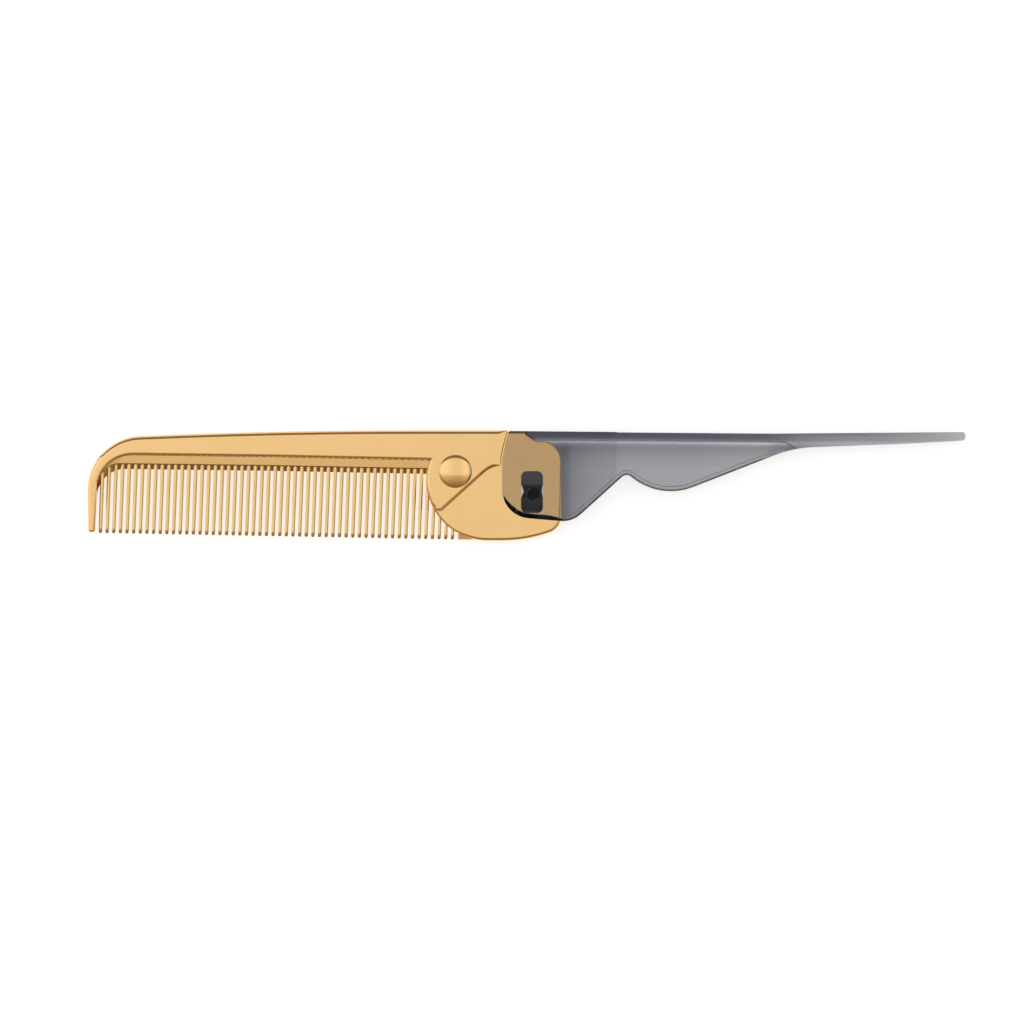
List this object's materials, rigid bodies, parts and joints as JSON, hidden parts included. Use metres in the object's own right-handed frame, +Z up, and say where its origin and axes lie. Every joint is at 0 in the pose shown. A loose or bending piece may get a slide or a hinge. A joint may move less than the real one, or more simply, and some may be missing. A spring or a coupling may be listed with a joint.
{
  "type": "folding tail comb",
  "caption": "Folding tail comb lying open: a gold-finished fine-tooth comb, pinned between the ears of a clear smoke-grey tail handle that takes the tips of the teeth when shut.",
  "frame": {"origin": "on the fold's axis, at the outer face of the ear that the comb lies on", "axes": "+X along the open comb to the tail's tip, +Y towards the spine and the handle's closed back, +Z up out of the surface that it lies on, along the fold's axis"},
  "size_m": [0.2108, 0.0266, 0.0072],
  "materials": {
    "gold_finish": "polished",
    "smoke_plastic": "gloss",
    "black_plastic": "satin"
  },
  "bodies": {
    "comb": {"comb": "gold_finish", "pivot_block": "black_plastic"},
    "handle": {"handle": "smoke_plastic", "pivot_pin": "black_plastic"}
  },
  "joints": [
    {"name": "fold", "type": "hinge", "parent": "comb", "child": "handle", "pos_m": [0, 0, 0.0031], "axis": [0, 0, -1], "range_deg": [0, 180]}
  ]
}
